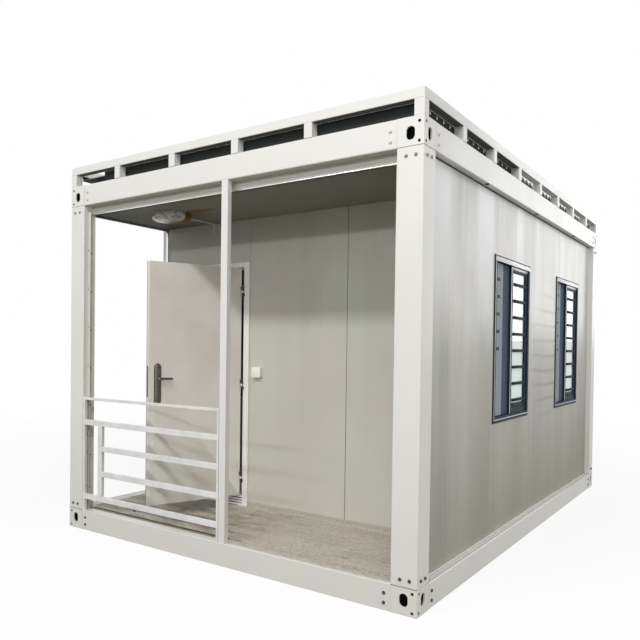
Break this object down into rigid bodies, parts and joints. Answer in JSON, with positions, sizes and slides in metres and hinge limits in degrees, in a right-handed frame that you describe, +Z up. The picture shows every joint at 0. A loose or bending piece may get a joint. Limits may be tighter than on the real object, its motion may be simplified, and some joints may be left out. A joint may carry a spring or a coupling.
{
  "type": "flat pack container house",
  "caption": "White steel-framed flat pack container house with an open front porch, porch railing, hinged door, sliding windows and an open roof rail.",
  "frame": {"origin": "middle of the footprint on the ground plane", "axes": "+Z up, -Y out through the porch front, +X to the right seen from the front"},
  "size_m": [3.03, 4.574, 2.896],
  "materials": {
    "frame_paint": "satin",
    "panel_paint": "satin",
    "door_paint": "satin",
    "roof_steel": "satin",
    "galvanised_steel": "matte",
    "floor_board": "matte",
    "dark_aluminium": "satin",
    "clear_glass": "gloss",
    "white_plastic": "matte",
    "lamp_shade": "gloss",
    "hinge_steel": "brushed",
    "handle_metal": "brushed"
  },
  "bodies": {
    "house": {"base_corner_blocks": "frame_paint", "top_corner_blocks": "frame_paint", "corner_columns": "frame_paint", "base_side_beams": "frame_paint", "base_end_beams": "frame_paint", "top_side_beams": "frame_paint", "top_end_beams": "frame_paint", "roof_end_rails": "frame_paint", "roof_side_rails": "frame_paint", "roof_end_posts": "frame_paint", "roof_side_posts": "frame_paint", "roof_sheet": "roof_steel", "roof_deck": "roof_steel", "roof_purlins": "galvanised_steel", "roof_joists": "galvanised_steel", "ceiling_sheet": "panel_paint", "floor_board": "floor_board", "floor_joists": "galvanised_steel", "edge_channels": "frame_paint", "right_wall": "panel_paint", "right_window_wall": "panel_paint", "left_wall": "panel_paint", "left_window_wall": "panel_paint", "back_wall": "panel_paint", "partition_wall": "panel_paint", "partition_over_door": "panel_paint", "partition_end_post": "frame_paint", "partition_track": "frame_paint", "door_jambs": "frame_paint", "door_head": "frame_paint", "door_threshold": "frame_paint", "door_hinge_pins": "hinge_steel", "porch_post": "frame_paint", "porch_railing": "frame_paint", "ceiling_lamp": "lamp_shade", "lamp_trunking": "white_plastic", "light_switch": "white_plastic", "window_frames": "dark_aluminium", "window_sashes": "dark_aluminium", "window_glass": "clear_glass"},
    "door": {"door_leaf": "door_paint", "door_hinge_leaves": "hinge_steel", "door_handle_plates": "handle_metal"},
    "lever": {"door_lever": "handle_metal"}
  },
  "joints": [
    {"name": "door_hinge", "type": "hinge", "parent": "house", "child": "door", "pos_m": [-0.4625, -1.379, 1.166], "axis": [0, 0, 1], "range_deg": [-69, 41]},
    {"name": "lever_turn", "type": "hinge", "parent": "door", "child": "lever", "pos_m": [-0.7604, -2.0589, 1.221], "axis": [-0.9336, 0.3584, 0], "range_deg": [0, 45], "stiffness_Nm_per_rad": 1.2}
  ]
}
